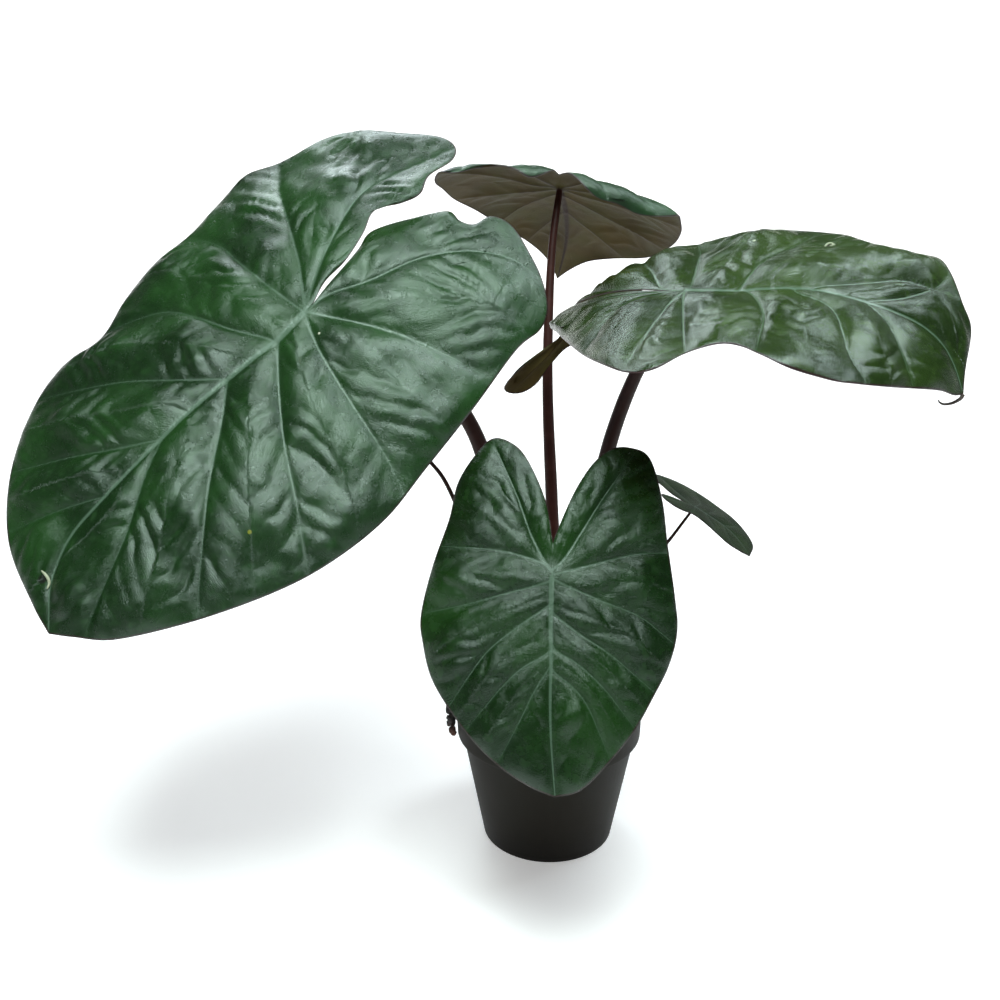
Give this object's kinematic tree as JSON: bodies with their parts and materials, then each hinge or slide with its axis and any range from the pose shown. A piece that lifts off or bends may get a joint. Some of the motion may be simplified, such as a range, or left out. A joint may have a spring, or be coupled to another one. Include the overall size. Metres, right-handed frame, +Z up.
{
  "type": "potted yucatan princess alocasia",
  "caption": "Potted aroid with large heart-shaped, quilted dark green blades on long purple-brown stalks, in a plain tapered nursery pot.",
  "frame": {"origin": "centre of the pot's flat base", "axes": "+Z up, -Y towards the front of the plant (the picture's side), +X to the right seen from the front"},
  "size_m": [0.6426, 0.4482, 0.5607],
  "materials": {
    "pot_plastic": "dark brown-grey moulded plastic, lightly scuffed",
    "potting_mix": "coarse bark and fibre mix, matt",
    "crown_sheath": "dry papery sheath, matt",
    "petiole": "purple-brown, satin",
    "leaf": "quilted deep green, satin gloss, brown-olive beneath"
  },
  "bodies": {
    "root": {"pot": "pot_plastic", "soil": "potting_mix", "rim_clump": "potting_mix", "crown": "crown_sheath", "petiole_a": "petiole", "petiole_b": "petiole", "petiole_c": "petiole", "petiole_d": "petiole", "petiole_e": "petiole", "petiole_f": "petiole", "blade_a": "leaf", "blade_b": "leaf", "blade_c": "leaf", "blade_d": "leaf", "blade_e": "leaf", "blade_f": "leaf"}
  },
  "joints": []
}
